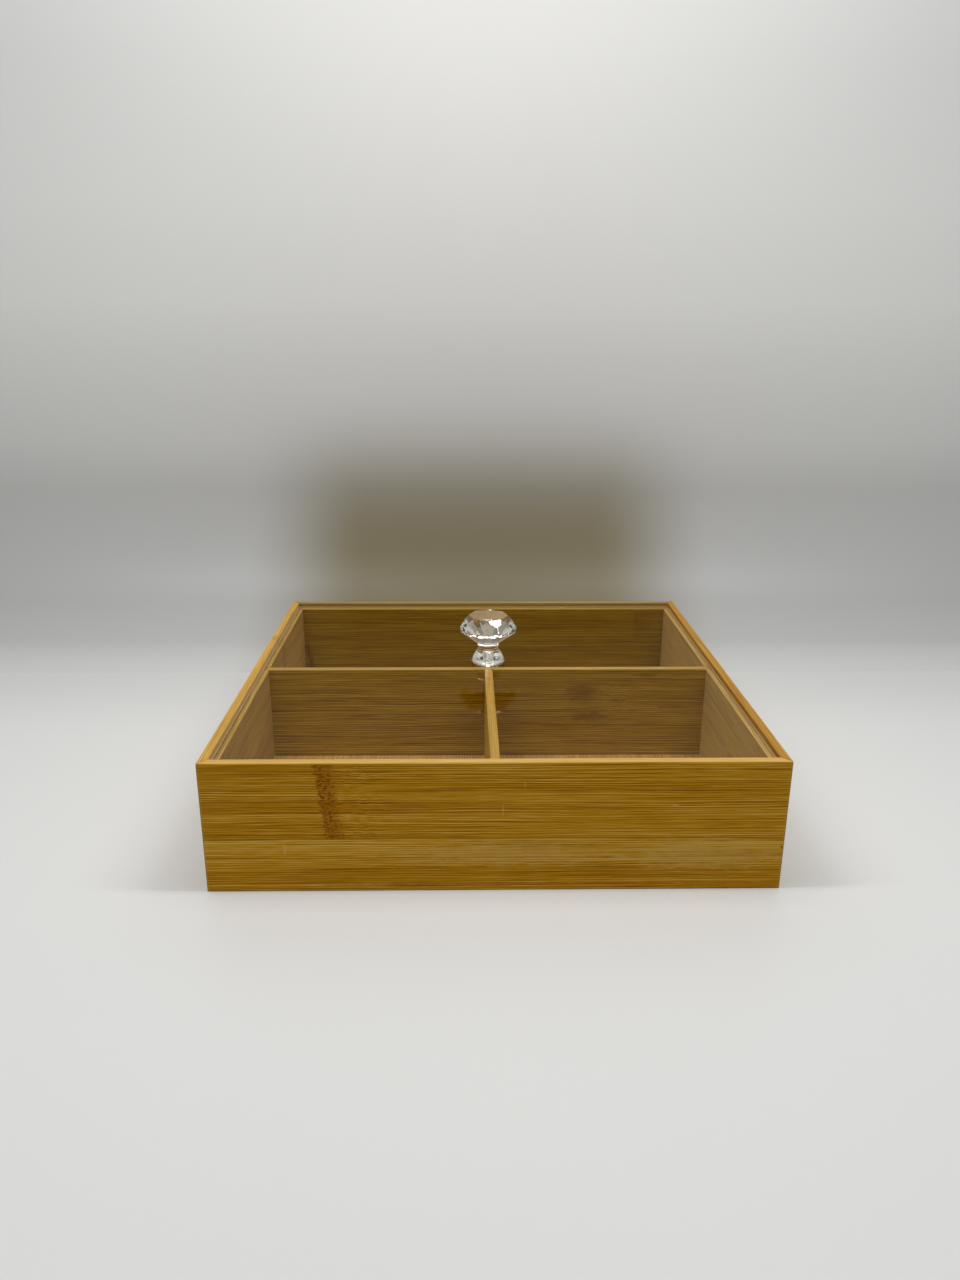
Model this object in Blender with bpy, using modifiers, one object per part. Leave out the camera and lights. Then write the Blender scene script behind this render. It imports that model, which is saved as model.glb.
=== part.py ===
"""Square bamboo organizer tray with three compartments, a clear lift-off lid and a faceted knob.

Units are metres, +Z is up, +X runs to the right of someone who faces the front wall and +Y runs
away from them. The origin lies on the table, under the middle of the tray.
"""
import math

import bmesh
import bpy
from mathutils import Matrix, Vector

# Tray, outside
TRAY_WIDTH = 0.245
TRAY_DEPTH = 0.240
TRAY_HEIGHT = 0.060
EDGE_ROUNDING = 0.0005
EDGE_ROUNDING_STEPS = 2

# Wall section: a thin rim stands outside a ledge that carries the lid
RIM_THICKNESS = 0.0040
LEDGE_WIDTH = 0.0028
RABBET_DEPTH = 0.0056
INNER_CHAMFER = 0.0003

# Base panel, held in grooves in the walls
BASE_THICKNESS = 0.0030
BASE_UNDERSIDE = 0.0020
BASE_HOUSING = 0.0030

# Dividers, standing on the base panel with their tops level with the ledge
DIVIDER_THICKNESS = 0.0042
DIVIDER_ROUNDING = 0.0003
LONG_DIVIDER_SETBACK = 0.0025
SHORT_DIVIDER_OFFSET = 0.0
SHORT_DIVIDER_HOUSING = 0.0012

# Lid panel
LID_THICKNESS = 0.0030
LID_SIDE_GAP = 0.0005
LID_CORNER_RADIUS = 0.0020
LID_CORNER_STEPS = 5
LID_POLISH = 0.0003

# Screw through the lid into the knob, with a pan head under the lid
THREAD_DIAMETER = 0.0040
SCREW_LENGTH = 0.0100
SCREW_TIP_CHAMFER = 0.0006
HEAD_DIAMETER = 0.0070
HEAD_HEIGHT = 0.0024
HEAD_ROUNDING = 0.0010
HEAD_ROUNDING_STEPS = 3
DRIVE_SPAN = 0.0042
DRIVE_SLOT = 0.0009
DRIVE_DEPTH = 0.0013
HEAD_TO_DIVIDER = 0.0009

# Knob foot, turned: (radius, height above the foot's underside) from the bottom up
FOOT_RADIUS = 0.0090
FOOT_UNDERSIDE_RADIUS = 0.0078
FOOT_BULGE_HEIGHT = 0.0016
FOOT_TAPER_RADIUS = 0.0066
FOOT_TAPER_HEIGHT = 0.0060
NECK_RADIUS = 0.0055
NECK_HEIGHT = 0.0078
COLLAR_RADIUS = 0.0058
COLLAR_HEIGHT = 0.0098
FOOT_TOP_HEIGHT = 0.0118

# Knob head, cut like a gemstone: flat table, crown, girdle and a pavilion that runs into the neck
GIRDLE_RADIUS = 0.0152
GIRDLE_BOTTOM = 0.0182
GIRDLE_TOP = 0.0194
TABLE_RADIUS = 0.0104
TABLE_HEIGHT = 0.0261
STAR_REACH = 0.0028
PAVILION_RADIUS = 0.0060
PAVILION_BOTTOM = 0.0112
MAIN_FACETS = 8
TABLE_TURN = math.radians(-4.0)

# Clearances
FIT_GAP = 0.0003
CUT_OVERRUN = 0.0010

TURN_STEPS = 48
SHARP_ANGLE = math.radians(30.0)
UPWARDS_SHARE = 0.5
MERGE_SHARE = 0.01

# Surfaces: red, green and blue shares, roughness and refraction
FRONT_BAMBOO_SHARES = (0.53, 0.33, 0.09)
BACK_BAMBOO_SHARES = (0.51, 0.32, 0.09)
LEFT_BAMBOO_SHARES = (0.56, 0.35, 0.10)
RIGHT_BAMBOO_SHARES = (0.55, 0.34, 0.10)
BASE_BAMBOO_SHARES = (0.52, 0.33, 0.11)
LONG_DIVIDER_BAMBOO_SHARES = (0.54, 0.35, 0.12)
SHORT_DIVIDER_BAMBOO_SHARES = (0.56, 0.37, 0.13)
PANEL_PLASTIC_SHARES = (0.92, 0.93, 0.93)
KNOB_PLASTIC_SHARES = (0.95, 0.96, 0.97)
ZINC_SHARES = (0.72, 0.72, 0.71)
BAMBOO_ROUGHNESS = 0.45
BASE_ROUGHNESS = 0.50
PANEL_ROUGHNESS = 0.03
KNOB_ROUGHNESS = 0.02
ZINC_ROUGHNESS = 0.30
PLASTIC_REFRACTION = 1.49

# Sizes worked out from the ones above
WALL_THICKNESS = RIM_THICKNESS + LEDGE_WIDTH
LEDGE_HEIGHT = TRAY_HEIGHT - RABBET_DEPTH
FLOOR_HEIGHT = BASE_UNDERSIDE + BASE_THICKNESS
LID_UNDERSIDE = LEDGE_HEIGHT + FIT_GAP
LID_TOP = LID_UNDERSIDE + LID_THICKNESS
KNOB_UNDERSIDE = LID_TOP + FIT_GAP
CAVITY_WIDTH = TRAY_WIDTH - 2 * WALL_THICKNESS
CAVITY_DEPTH = TRAY_DEPTH - 2 * WALL_THICKNESS
RABBET_WIDTH = TRAY_WIDTH - 2 * RIM_THICKNESS
RABBET_LENGTH = TRAY_DEPTH - 2 * RIM_THICKNESS
KNOB_SETBACK = LONG_DIVIDER_SETBACK + DIVIDER_THICKNESS / 2 + HEAD_TO_DIVIDER + HEAD_DIAMETER / 2
BORE_RADIUS = THREAD_DIAMETER / 2 + FIT_GAP
SCREW_TOP = LID_UNDERSIDE - FIT_GAP + SCREW_LENGTH

PARTS_NAME = "bamboo_organizer_tray"
CUTTERS_NAME = "cutters"


def clear_scene():
    for thing in list(bpy.data.objects):
        bpy.data.objects.remove(thing, do_unlink=True)
    for group in list(bpy.data.collections):
        bpy.data.collections.remove(group)


def make_collection(name):
    group = bpy.data.collections.new(name)
    bpy.context.scene.collection.children.link(group)
    return group


def principled(name, colour, roughness, metallic=0.0, transmission=0.0):
    material = bpy.data.materials.new(name)
    material.use_nodes = True
    shader = material.node_tree.nodes["Principled BSDF"]
    shader.inputs["Base Color"].default_value = (*colour, 1.0)
    shader.inputs["Roughness"].default_value = roughness
    shader.inputs["Metallic"].default_value = metallic
    shader.inputs["Transmission Weight"].default_value = transmission
    if transmission:
        shader.inputs["IOR"].default_value = PLASTIC_REFRACTION
    material.diffuse_color = (*colour, 1.0)
    return material


def object_from_bmesh(mesh_builder, name, group, location=(0, 0, 0)):
    mesh = bpy.data.meshes.new(name)
    bmesh.ops.recalc_face_normals(mesh_builder, faces=mesh_builder.faces)
    mesh_builder.to_mesh(mesh)
    mesh_builder.free()
    thing = bpy.data.objects.new(name, mesh)
    thing.location = location
    group.objects.link(thing)
    return thing


def as_cutter(thing):
    thing.hide_render = True
    thing.display_type = "WIRE"
    return thing


def box_bmesh(low, high):
    low, high = Vector(low), Vector(high)
    builder = bmesh.new()
    place = Matrix.Translation((low + high) / 2) @ Matrix.Diagonal((*(high - low), 1.0))
    bmesh.ops.create_cube(builder, size=1.0, matrix=place)
    return builder


def box(name, group, low, high):
    return object_from_bmesh(box_bmesh(low, high), name, group)


def flared_well(name, group, width, depth, bottom, brim, flare):
    """A straight-sided well that opens outwards at 45 degrees for its last stretch below the brim."""
    shoulder = brim - flare
    builder = box_bmesh((-width / 2, -depth / 2, bottom), (width / 2, depth / 2, shoulder))
    top = [face for face in builder.faces if face.normal.z > UPWARDS_SHARE]
    grown = bmesh.ops.extrude_face_region(builder, geom=top)["geom"]
    bmesh.ops.delete(builder, geom=top, context="FACES_ONLY")
    reach = flare + CUT_OVERRUN
    for vertex in grown:
        if isinstance(vertex, bmesh.types.BMVert):
            outwards = Vector((math.copysign(reach, vertex.co.x), math.copysign(reach, vertex.co.y), reach))
            vertex.co += outwards
    return as_cutter(object_from_bmesh(builder, name, group))


def add_cut(thing, cutter, operation="DIFFERENCE"):
    cut = thing.modifiers.new(operation.lower() + "_" + cutter.name, "BOOLEAN")
    cut.operation = operation
    cut.solver = "EXACT"
    cut.object = cutter


def add_rounding(thing, width, steps):
    rounding = thing.modifiers.new("rounding", "BEVEL")
    rounding.width = width
    rounding.segments = steps
    rounding.limit_method = "ANGLE"
    rounding.angle_limit = SHARP_ANGLE


def evaluated_mesh(thing):
    graph = bpy.context.evaluated_depsgraph_get()
    return bpy.data.meshes.new_from_object(thing.evaluated_get(graph))


def slice_away(builder, point, normal):
    """Cut along a plane, drop what lies on the normal's side and close the cut."""
    everything = builder.verts[:] + builder.edges[:] + builder.faces[:]
    cut = bmesh.ops.bisect_plane(
        builder, geom=everything, plane_co=point, plane_no=normal, clear_outer=True
    )["geom_cut"]
    edges = [item for item in cut if isinstance(item, bmesh.types.BMEdge)]
    bmesh.ops.edgenet_fill(builder, edges=edges)


def shade(thing, material):
    thing.data.materials.clear()
    thing.data.materials.append(material)
    return thing


def smooth_turned(thing):
    thing.data.shade_smooth()
    thing.data.set_sharp_from_angle(angle=SHARP_ANGLE)


def wall_ring(cutters):
    """The four walls as one ring, before the mitres part them."""
    half_width, half_depth = TRAY_WIDTH / 2, TRAY_DEPTH / 2
    ring = box("wall_ring", cutters, (-half_width, -half_depth, 0), (half_width, half_depth, TRAY_HEIGHT))
    add_rounding(ring, EDGE_ROUNDING, EDGE_ROUNDING_STEPS)
    as_cutter(ring)

    cavity = flared_well("cavity_cutter", cutters, CAVITY_WIDTH, CAVITY_DEPTH,
                         -CUT_OVERRUN, LEDGE_HEIGHT, INNER_CHAMFER)
    rabbet = flared_well("rabbet_cutter", cutters, RABBET_WIDTH, RABBET_LENGTH,
                         LEDGE_HEIGHT, TRAY_HEIGHT, INNER_CHAMFER)
    add_cut(ring, cavity)
    add_cut(ring, rabbet)

    groove_x = CAVITY_WIDTH / 2 + BASE_HOUSING + FIT_GAP
    groove_y = CAVITY_DEPTH / 2 + BASE_HOUSING + FIT_GAP
    groove = box("base_groove_cutter", cutters, (-groove_x, -groove_y, BASE_UNDERSIDE - FIT_GAP),
                 (groove_x, groove_y, FLOOR_HEIGHT + FIT_GAP))
    add_cut(ring, as_cutter(groove))

    half_slot = DIVIDER_THICKNESS / 2 + FIT_GAP
    slot_top = LEDGE_HEIGHT + CUT_OVERRUN
    long_slot = box("long_dado_cutter", cutters,
                    (-RABBET_WIDTH / 2, LONG_DIVIDER_SETBACK - half_slot, FLOOR_HEIGHT),
                    (RABBET_WIDTH / 2, LONG_DIVIDER_SETBACK + half_slot, slot_top))
    add_cut(ring, as_cutter(long_slot))
    short_slot = box("short_dado_cutter", cutters,
                     (SHORT_DIVIDER_OFFSET - half_slot, -RABBET_LENGTH / 2, FLOOR_HEIGHT),
                     (SHORT_DIVIDER_OFFSET + half_slot, 0, slot_top))
    add_cut(ring, as_cutter(short_slot))
    return ring


def mitred_wall(name, group, ring_mesh, side, material):
    """One wall: the ring's part on the side that the vector points to, cut at 45 degrees."""
    across = Vector((-side.y, side.x, 0))
    corner_reach = Vector((TRAY_WIDTH / 2, TRAY_DEPTH / 2, 0))
    builder = bmesh.new()
    builder.from_mesh(ring_mesh)
    for end in (across, -across):
        corner = Vector(((side + end).x * corner_reach.x, (side + end).y * corner_reach.y, 0))
        away = (end - side).normalized()
        slice_away(builder, corner - away * FIT_GAP / 2, away)
    wall = object_from_bmesh(builder, name, group)
    return shade(wall, material)


def walls(group, cutters, materials):
    ring_mesh = evaluated_mesh(wall_ring(cutters))
    sides = {
        "front_wall": Vector((0, -1, 0)),
        "back_wall": Vector((0, 1, 0)),
        "left_wall": Vector((-1, 0, 0)),
        "right_wall": Vector((1, 0, 0)),
    }
    for name, side in sides.items():
        mitred_wall(name, group, ring_mesh, side, materials[name])
    bpy.data.meshes.remove(ring_mesh)


def base_panel(group, material):
    half_x = CAVITY_WIDTH / 2 + BASE_HOUSING
    half_y = CAVITY_DEPTH / 2 + BASE_HOUSING
    panel = box("base_panel", group, (-half_x, -half_y, BASE_UNDERSIDE), (half_x, half_y, FLOOR_HEIGHT))
    return shade(panel, material)


def long_divider(group, cutters, material):
    half_length = RABBET_WIDTH / 2 - FIT_GAP
    half_thickness = DIVIDER_THICKNESS / 2
    front = LONG_DIVIDER_SETBACK - half_thickness
    divider = box("long_divider", group,
                  (-half_length, front, FLOOR_HEIGHT + FIT_GAP),
                  (half_length, LONG_DIVIDER_SETBACK + half_thickness, LEDGE_HEIGHT))
    add_rounding(divider, DIVIDER_ROUNDING, EDGE_ROUNDING_STEPS)
    half_slot = half_thickness + FIT_GAP
    housing = box("short_housing_cutter", cutters,
                  (SHORT_DIVIDER_OFFSET - half_slot, front - CUT_OVERRUN, 0),
                  (SHORT_DIVIDER_OFFSET + half_slot, front + SHORT_DIVIDER_HOUSING, TRAY_HEIGHT))
    add_cut(divider, as_cutter(housing))
    return shade(divider, material)


def short_divider(group, material):
    half_thickness = DIVIDER_THICKNESS / 2
    front = -RABBET_LENGTH / 2 + FIT_GAP
    back = LONG_DIVIDER_SETBACK - half_thickness + SHORT_DIVIDER_HOUSING - FIT_GAP
    divider = box("short_divider", group,
                  (SHORT_DIVIDER_OFFSET - half_thickness, front, FLOOR_HEIGHT + FIT_GAP),
                  (SHORT_DIVIDER_OFFSET + half_thickness, back, LEDGE_HEIGHT))
    add_rounding(divider, DIVIDER_ROUNDING, EDGE_ROUNDING_STEPS)
    return shade(divider, material)


def round_upright_edges(builder, radius, steps):
    upright = [edge for edge in builder.edges
               if abs((edge.verts[0].co - edge.verts[1].co).normalized().z) > UPWARDS_SHARE]
    bmesh.ops.bevel(builder, geom=upright, offset=radius, segments=steps, profile=0.5, affect="EDGES")


def lid_panel(group, cutters, lid_pivot, material):
    """The lid's parts hang on an empty at the lift axis, so their meshes are made around it."""
    half_x = RABBET_WIDTH / 2 - LID_SIDE_GAP
    half_y = RABBET_LENGTH / 2 - LID_SIDE_GAP
    builder = box_bmesh((-half_x, -half_y - KNOB_SETBACK, LID_UNDERSIDE),
                        (half_x, half_y - KNOB_SETBACK, LID_TOP))
    round_upright_edges(builder, LID_CORNER_RADIUS, LID_CORNER_STEPS)
    panel = object_from_bmesh(builder, "lid_panel", group)
    panel.parent = lid_pivot
    add_rounding(panel, LID_POLISH, 1)

    builder = bmesh.new()
    bmesh.ops.create_cone(builder, cap_ends=True, segments=TURN_STEPS, radius1=BORE_RADIUS,
                          radius2=BORE_RADIUS, depth=LID_THICKNESS + 2 * CUT_OVERRUN)
    hole = object_from_bmesh(builder, "screw_hole_cutter", cutters,
                             (0, 0, (LID_UNDERSIDE + LID_TOP) / 2))
    hole.parent = lid_pivot
    add_cut(panel, as_cutter(hole))
    return shade(panel, material)


def arc_points(centre, radius, start, stop, steps):
    """Points (radius, height) on a circular arc of a turned profile."""
    turns = [start + (stop - start) * step / steps for step in range(steps + 1)]
    return [(centre[0] + radius * math.cos(turn), centre[1] + radius * math.sin(turn)) for turn in turns]


def turned(name, group, outline, location=(0, 0, 0)):
    """A solid of revolution: the outline lists (radius, height) down its outer side."""
    mesh = bpy.data.meshes.new(name)
    points = [(radius, 0, height) for radius, height in outline]
    edges = [(index, index + 1) for index in range(len(points) - 1)]
    mesh.from_pydata(points, edges, [])
    thing = bpy.data.objects.new(name, mesh)
    thing.location = location
    group.objects.link(thing)
    screw = thing.modifiers.new("turn", "SCREW")
    screw.steps = TURN_STEPS
    screw.render_steps = TURN_STEPS
    screw.use_merge_vertices = True
    screw.merge_threshold = FIT_GAP * MERGE_SHARE
    screw.use_normal_calculate = True
    return thing


def facet_tier(builder, count, turn, radius, height, slope_radius, slope_height):
    """Cut a ring of planes: each one holds (radius, height) and (slope_radius, slope_height)."""
    run, rise = slope_radius - radius, slope_height - height
    for index in range(count):
        angle = turn + math.tau * index / count
        outwards = Vector((math.cos(angle), math.sin(angle), 0))
        normal = outwards * abs(rise) + Vector((0, 0, math.copysign(run, rise) * -1))
        slice_away(builder, outwards * radius + Vector((0, 0, height)), normal)


def knob_head(group):
    """A gemstone cut: every facet is one plane cut from a many-sided blank."""
    between = math.tau / MAIN_FACETS / 2
    girdle_sides = 2 * MAIN_FACETS
    half_side = math.pi / girdle_sides
    flat_radius = GIRDLE_RADIUS * math.cos(half_side)
    table_flat = TABLE_RADIUS * math.cos(math.pi / MAIN_FACETS)

    builder = bmesh.new()
    middle = (PAVILION_BOTTOM + TABLE_HEIGHT) / 2
    place = Matrix.Translation((0, 0, middle)) @ Matrix.Rotation(TABLE_TURN, 4, "Z")
    bmesh.ops.create_cone(builder, cap_ends=True, segments=girdle_sides, radius1=GIRDLE_RADIUS,
                          radius2=GIRDLE_RADIUS, depth=TABLE_HEIGHT - PAVILION_BOTTOM, matrix=place)

    star_turn = TABLE_TURN + between
    break_turn = TABLE_TURN + half_side
    break_height = (GIRDLE_TOP + TABLE_HEIGHT) / 2
    break_radius = (GIRDLE_RADIUS + TABLE_RADIUS) / 2
    facet_tier(builder, MAIN_FACETS, TABLE_TURN, TABLE_RADIUS, TABLE_HEIGHT, GIRDLE_RADIUS, GIRDLE_TOP)
    facet_tier(builder, girdle_sides, break_turn, break_radius, break_height, flat_radius, GIRDLE_TOP)
    facet_tier(builder, MAIN_FACETS, star_turn, table_flat, TABLE_HEIGHT,
               table_flat + STAR_REACH, TABLE_HEIGHT - STAR_REACH)

    for turn in (TABLE_TURN, star_turn):
        facet_tier(builder, MAIN_FACETS, turn, PAVILION_RADIUS, PAVILION_BOTTOM,
                   GIRDLE_RADIUS, GIRDLE_BOTTOM)
    return object_from_bmesh(builder, "knob_head", group, (0, 0, KNOB_UNDERSIDE))


def foot_outline():
    """The foot's outline from its top centre, down its outer side, to its bottom centre."""
    bulge_turn = math.acos((FOOT_UNDERSIDE_RADIUS - FOOT_RADIUS + FOOT_BULGE_HEIGHT) / FOOT_BULGE_HEIGHT)
    bulge = arc_points((FOOT_RADIUS - FOOT_BULGE_HEIGHT, FOOT_BULGE_HEIGHT), FOOT_BULGE_HEIGHT,
                       0, -bulge_turn, HEAD_ROUNDING_STEPS)
    outline = [
        (0, FOOT_TOP_HEIGHT),
        (PAVILION_RADIUS, FOOT_TOP_HEIGHT),
        (COLLAR_RADIUS, COLLAR_HEIGHT),
        (NECK_RADIUS, NECK_HEIGHT),
        (FOOT_TAPER_RADIUS, FOOT_TAPER_HEIGHT),
    ]
    outline += bulge
    outline.append((FOOT_UNDERSIDE_RADIUS, 0))
    outline.append((0, 0))
    return outline


def lid_knob(group, cutters, lid_pivot, material):
    knob = turned("lid_knob", group, foot_outline(), (0, 0, KNOB_UNDERSIDE))
    knob.parent = lid_pivot
    head = as_cutter(knob_head(cutters))
    head.parent = lid_pivot
    add_cut(knob, head, "UNION")

    bore_depth = SCREW_TOP - KNOB_UNDERSIDE + FIT_GAP
    builder = bmesh.new()
    place = Matrix.Translation((0, 0, (bore_depth - CUT_OVERRUN) / 2))
    bmesh.ops.create_cone(builder, cap_ends=True, segments=TURN_STEPS, radius1=BORE_RADIUS,
                          radius2=BORE_RADIUS, depth=bore_depth + CUT_OVERRUN, matrix=place)
    bore = object_from_bmesh(builder, "knob_bore_cutter", cutters, (0, 0, KNOB_UNDERSIDE))
    bore.parent = lid_pivot
    add_cut(knob, as_cutter(bore))
    shade(knob, material)
    smooth_turned(knob)
    return knob


def knob_screw(group, cutters, lid_pivot, material):
    """A pan-head machine screw, head down, with a cross recess."""
    seat = LID_UNDERSIDE - FIT_GAP
    head_radius, shank_radius = HEAD_DIAMETER / 2, THREAD_DIAMETER / 2
    rounded = arc_points((head_radius - HEAD_ROUNDING, HEAD_ROUNDING - HEAD_HEIGHT), HEAD_ROUNDING,
                         0, -math.pi / 2, HEAD_ROUNDING_STEPS)
    outline = [
        (0, SCREW_LENGTH),
        (shank_radius - SCREW_TIP_CHAMFER, SCREW_LENGTH),
        (shank_radius, SCREW_LENGTH - SCREW_TIP_CHAMFER),
        (shank_radius, 0),
        (head_radius, 0),
    ]
    outline += rounded
    outline.append((0, -HEAD_HEIGHT))
    screw = turned("knob_screw", group, outline, (0, 0, seat))
    screw.parent = lid_pivot
    spans = {"drive_slot_x": (DRIVE_SPAN, DRIVE_SLOT), "drive_slot_y": (DRIVE_SLOT, DRIVE_SPAN)}
    for name, (span_x, span_y) in spans.items():
        slot = box(name, cutters, (-span_x / 2, -span_y / 2, -HEAD_HEIGHT - CUT_OVERRUN),
                   (span_x / 2, span_y / 2, -HEAD_HEIGHT + DRIVE_DEPTH))
        slot.location.z = seat
        slot.parent = lid_pivot
        add_cut(screw, as_cutter(slot))
    shade(screw, material)
    smooth_turned(screw)
    return screw


def build():
    clear_scene()
    parts = make_collection(PARTS_NAME)
    cutters = make_collection(CUTTERS_NAME)

    bamboo = {
        "front_wall": FRONT_BAMBOO_SHARES,
        "back_wall": BACK_BAMBOO_SHARES,
        "left_wall": LEFT_BAMBOO_SHARES,
        "right_wall": RIGHT_BAMBOO_SHARES,
    }
    wall_materials = {name: principled(name + "_bamboo", colour, BAMBOO_ROUGHNESS)
                      for name, colour in bamboo.items()}
    walls(parts, cutters, wall_materials)
    base_bamboo = principled("base_bamboo", BASE_BAMBOO_SHARES, BASE_ROUGHNESS)
    long_bamboo = principled("long_divider_bamboo", LONG_DIVIDER_BAMBOO_SHARES, BAMBOO_ROUGHNESS)
    short_bamboo = principled("short_divider_bamboo", SHORT_DIVIDER_BAMBOO_SHARES, BAMBOO_ROUGHNESS)
    base_panel(parts, base_bamboo)
    long_divider(parts, cutters, long_bamboo)
    short_divider(parts, short_bamboo)

    lid_pivot = bpy.data.objects.new("lid_pivot", None)
    lid_pivot.location = (0, KNOB_SETBACK, 0)
    parts.objects.link(lid_pivot)
    clear_panel = principled("clear_panel", PANEL_PLASTIC_SHARES, PANEL_ROUGHNESS, transmission=1.0)
    clear_knob = principled("clear_knob", KNOB_PLASTIC_SHARES, KNOB_ROUGHNESS, transmission=1.0)
    zinc_steel = principled("zinc_steel", ZINC_SHARES, ZINC_ROUGHNESS, metallic=1.0)
    lid_panel(parts, cutters, lid_pivot, clear_panel)
    lid_knob(parts, cutters, lid_pivot, clear_knob)
    knob_screw(parts, cutters, lid_pivot, zinc_steel)
    bpy.context.view_layer.update()


build()
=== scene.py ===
"""Looks of the bamboo organizer tray: surfaces, knob, screw, glue lines, studio and camera.

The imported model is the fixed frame. Materials, the knob, the screw and the glue lines count in
millimetres, and the studio and the camera in metres.
"""
import math

import bmesh
import bpy
from mathutils import Matrix, Vector


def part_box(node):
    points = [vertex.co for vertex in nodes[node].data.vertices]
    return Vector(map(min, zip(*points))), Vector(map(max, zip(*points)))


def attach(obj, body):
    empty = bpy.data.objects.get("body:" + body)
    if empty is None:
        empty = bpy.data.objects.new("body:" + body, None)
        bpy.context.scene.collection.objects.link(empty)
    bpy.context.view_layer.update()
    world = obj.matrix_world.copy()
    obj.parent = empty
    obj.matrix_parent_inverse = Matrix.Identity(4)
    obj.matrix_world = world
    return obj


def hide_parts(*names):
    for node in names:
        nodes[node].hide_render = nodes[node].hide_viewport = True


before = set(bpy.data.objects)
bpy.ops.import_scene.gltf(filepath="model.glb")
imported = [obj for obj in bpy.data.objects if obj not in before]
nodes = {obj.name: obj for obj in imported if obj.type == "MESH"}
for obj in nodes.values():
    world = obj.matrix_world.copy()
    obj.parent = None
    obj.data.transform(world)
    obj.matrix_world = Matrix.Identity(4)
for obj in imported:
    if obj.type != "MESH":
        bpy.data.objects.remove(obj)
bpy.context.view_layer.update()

MM = 0.001
X, Y, Z = 0, 1, 2
WHITE = (1.0, 1.0, 1.0, 1.0)

# Places that the frame gives, in metres
LID_LOW, LID_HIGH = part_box("lid_panel")
KNOB_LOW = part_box("lid_knob")[0]
SCREW_LOW, SCREW_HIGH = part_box("knob_screw")
KNOB_AXIS = Vector(((SCREW_LOW.x + SCREW_HIGH.x) / 2, (SCREW_LOW.y + SCREW_HIGH.y) / 2, 0))

# The tray's sections, in millimetres: the dividers' tops are level with the ledge
TRAY_HALF = Vector((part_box("right_wall")[1].x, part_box("back_wall")[1].y, 0)) / MM
TRAY_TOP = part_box("back_wall")[1].z / MM
LEDGE_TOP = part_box("long_divider")[1].z / MM
WALL_WIDTH = 6.8
RIM_WIDTH = 4.0


# Shader graphs

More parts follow.
